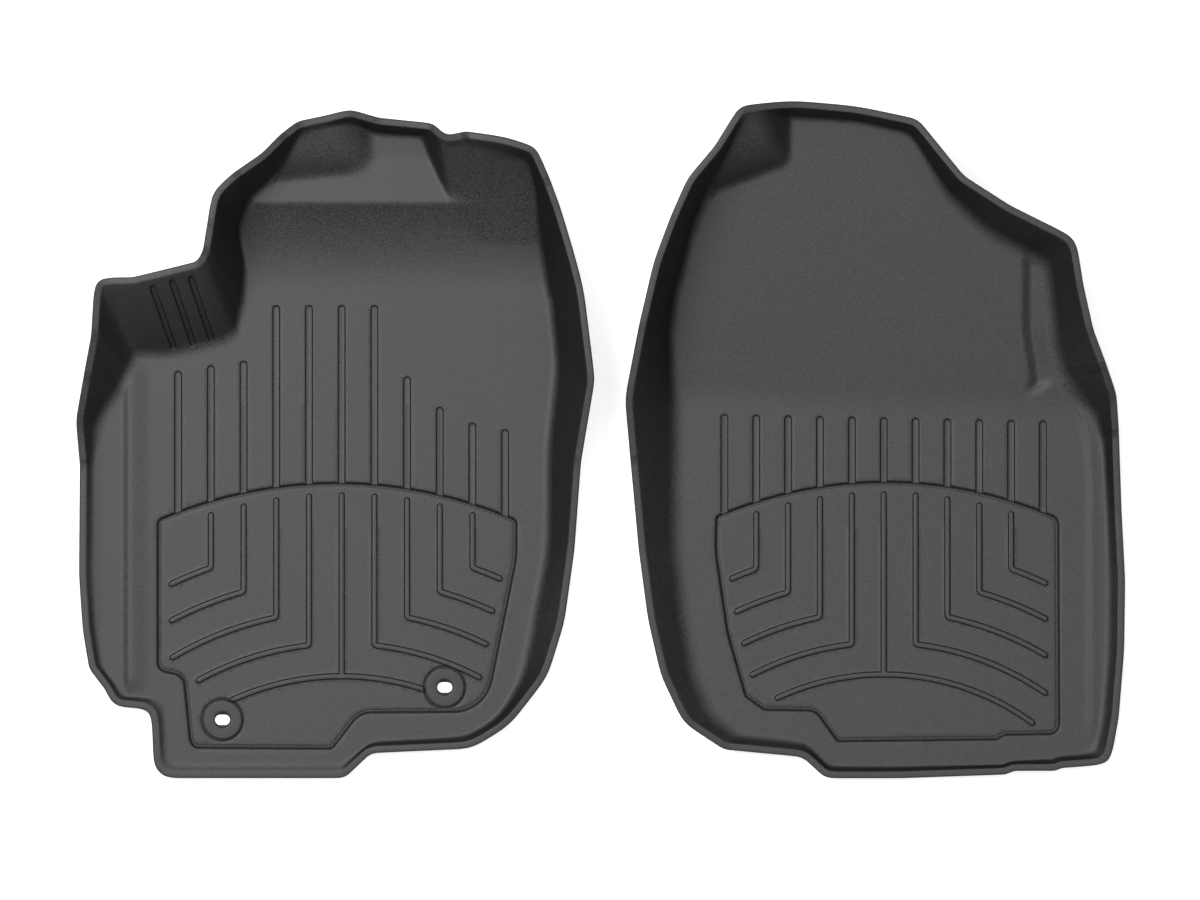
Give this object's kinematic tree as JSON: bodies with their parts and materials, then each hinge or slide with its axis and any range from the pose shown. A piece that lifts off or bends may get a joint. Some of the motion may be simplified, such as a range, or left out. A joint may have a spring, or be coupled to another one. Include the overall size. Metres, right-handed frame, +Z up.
{
  "type": "car floor mat set",
  "caption": "Moulded front floor trays for a car, with raised walls, toe ramps, drain channels, ribbed reservoirs and slotted retention eyelets.",
  "frame": {"origin": "middle of the set's outline, on the plane that the trays stand on", "axes": "+X towards the passenger's side, +Y towards the front of the car, +Z up"},
  "size_m": [1.1316, 0.729, 0.122],
  "materials": {
    "sheet": "fine haircell grain, matte black thermoplastic elastomer",
    "eyelet": "moulded black nylon, matte",
    "snap_ring": "moulded black nylon, satin"
  },
  "bodies": {
    "driver_tray": {"driver_liner": "sheet", "left_eyelet": "eyelet", "left_eyelet_ring": "snap_ring", "right_eyelet": "eyelet", "right_eyelet_ring": "snap_ring"},
    "passenger_tray": {"passenger_liner": "sheet"}
  },
  "joints": [
    {"name": "passenger_lift", "type": "slide", "parent": "driver_tray", "child": "passenger_tray", "axis": [0, 0, 1], "range_m": [0, 0.25]}
  ]
}
